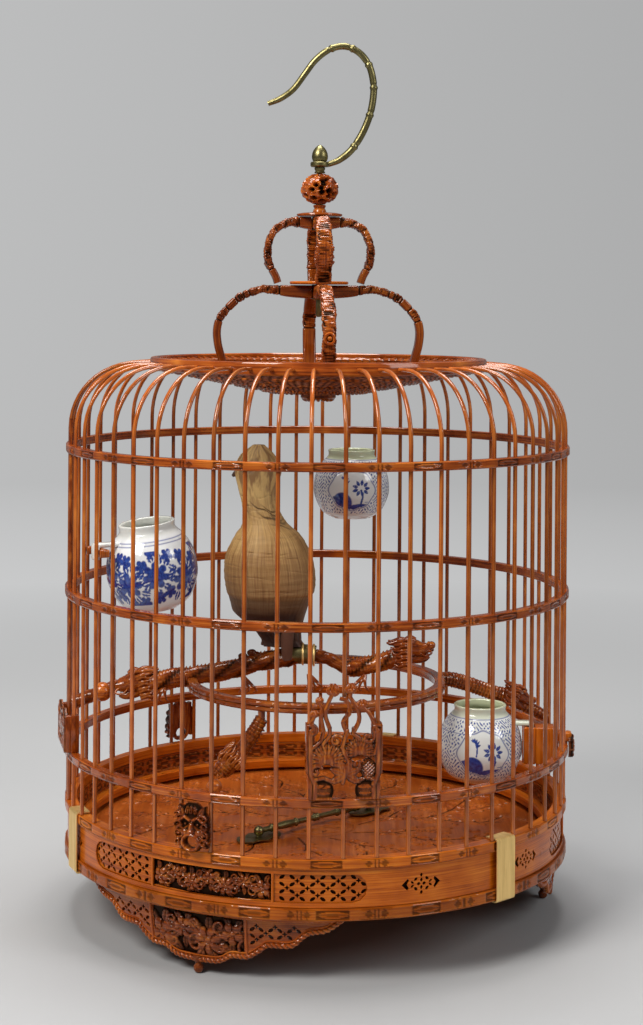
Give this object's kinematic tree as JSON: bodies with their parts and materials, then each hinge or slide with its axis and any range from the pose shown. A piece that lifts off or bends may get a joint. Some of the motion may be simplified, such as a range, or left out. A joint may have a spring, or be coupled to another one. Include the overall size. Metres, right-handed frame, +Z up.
{
  "type": "bird cage",
  "caption": "Round bamboo bird cage with a sunk roof, carved handle and hook, feet, perch, cups and sliding doors.",
  "frame": {"origin": "on the axis of the cage, at the level of the three feet that it stands on", "axes": "+Z up along the axis of the cage, the front door looks along -Y, +X to the right seen from the front"},
  "size_m": [0.3485, 0.3444, 0.5838],
  "materials": {
    "bamboo": "glossy lacquered bamboo, orange-brown",
    "dark_bamboo": "glossy lacquered bamboo, carved, red-brown",
    "carved_wood": "satin carved wood, red-brown with dark recesses",
    "honey_wood": "glossy honey-orange bamboo band with fretwork",
    "brass": "aged brass, greenish",
    "pale_brass": "brushed pale brass",
    "porcelain": "glazed white porcelain with blue painting",
    "root_wood": "carved root wood, tan with growth grooves"
  },
  "bodies": {
    "cage": {"bar_set_1": "bamboo", "bar_set_2": "bamboo", "bar_set_3": "bamboo", "bar_set_4": "bamboo", "bar_set_5": "bamboo", "bar_set_6": "bamboo", "bar_set_7": "bamboo", "front_bar_stub": "bamboo", "side_bar_stub": "bamboo", "crown_ring": "bamboo", "outer_dish_ring": "bamboo", "arm_ring": "bamboo", "inner_dish_ring": "bamboo", "base_rim": "bamboo", "floor_ledge": "bamboo", "middle_disc": "bamboo", "upper_disc": "bamboo", "cup_slip_left": "bamboo", "cup_slip_back": "bamboo", "cup_holder_right": "bamboo", "lower_arm_1": "bamboo", "upper_arm_1": "bamboo", "lower_arm_2": "bamboo", "upper_arm_2": "bamboo", "lower_arm_3": "bamboo", "upper_arm_3": "bamboo", "lower_arm_4": "bamboo", "upper_arm_4": "bamboo", "lower_hoop": "dark_bamboo", "middle_hoop": "dark_bamboo", "upper_hoop": "dark_bamboo", "centre_plate": "dark_bamboo", "base_bottom_ring": "honey_wood", "base_band": "honey_wood", "floor_board": "carved_wood", "foot_1": "carved_wood", "foot_2": "carved_wood", "foot_3": "carved_wood", "lion_mask_1": "carved_wood", "lion_mask_2": "carved_wood", "carved_ball": "carved_wood", "perch_branch": "carved_wood", "perch_ring": "carved_wood", "perch_arm": "carved_wood", "hanging_dragon": "carved_wood", "spindle": "brass", "hook_nut": "brass", "carved_bird": "root_wood"},
    "hook_body": {"hook": "brass"},
    "front_door_body": {"front_door": "carved_wood"},
    "side_door_body": {"side_door": "carved_wood"},
    "cup_left_body": {"cup_left": "porcelain"},
    "cup_back_body": {"cup_back": "porcelain"},
    "cup_right_body": {"cup_right": "porcelain"},
    "brass_clip_1_body": {"brass_clip_1": "pale_brass"},
    "brass_clip_2_body": {"brass_clip_2": "pale_brass"},
    "brass_clip_3_body": {"brass_clip_3": "pale_brass"},
    "food_clip_body": {"food_clip": "brass"}
  },
  "joints": [
    {"name": "hook_swivel", "type": "hinge", "parent": "cage", "child": "hook_body", "pos_m": [0, 0, 0.5], "axis": [0, 0, 1], "continuous": true},
    {"name": "front_door_lift", "type": "slide", "parent": "cage", "child": "front_door_body", "axis": [0, 0, 1], "range_m": [0, 0.05]},
    {"name": "side_door_lift", "type": "slide", "parent": "cage", "child": "side_door_body", "axis": [0, 0, 1], "range_m": [0, 0.05]},
    {"name": "cup_left_lift", "type": "slide", "parent": "cage", "child": "cup_left_body", "axis": [0, 0, 1], "range_m": [0, 0.014]},
    {"name": "cup_back_lift", "type": "slide", "parent": "cage", "child": "cup_back_body", "axis": [0, 0, 1], "range_m": [0, 0.014]},
    {"name": "cup_right_lift", "type": "slide", "parent": "cage", "child": "cup_right_body", "axis": [0, 0, 1], "range_m": [0, 0.014]},
    {"name": "brass_clip_1_pull", "type": "slide", "parent": "cage", "child": "brass_clip_1_body", "axis": [-0.9205, -0.3909, 0], "range_m": [0, 0.012]},
    {"name": "brass_clip_2_pull", "type": "slide", "parent": "cage", "child": "brass_clip_2_body", "axis": [0.6919, -0.722, 0], "range_m": [0, 0.012]},
    {"name": "brass_clip_3_pull", "type": "slide", "parent": "cage", "child": "brass_clip_3_body", "axis": [0.3178, 0.9482, 0], "range_m": [0, 0.012]},
    {"name": "food_clip_lift", "type": "slide", "parent": "cage", "child": "food_clip_body", "axis": [0, 0, 1], "range_m": [0, 0.02]}
  ]
}
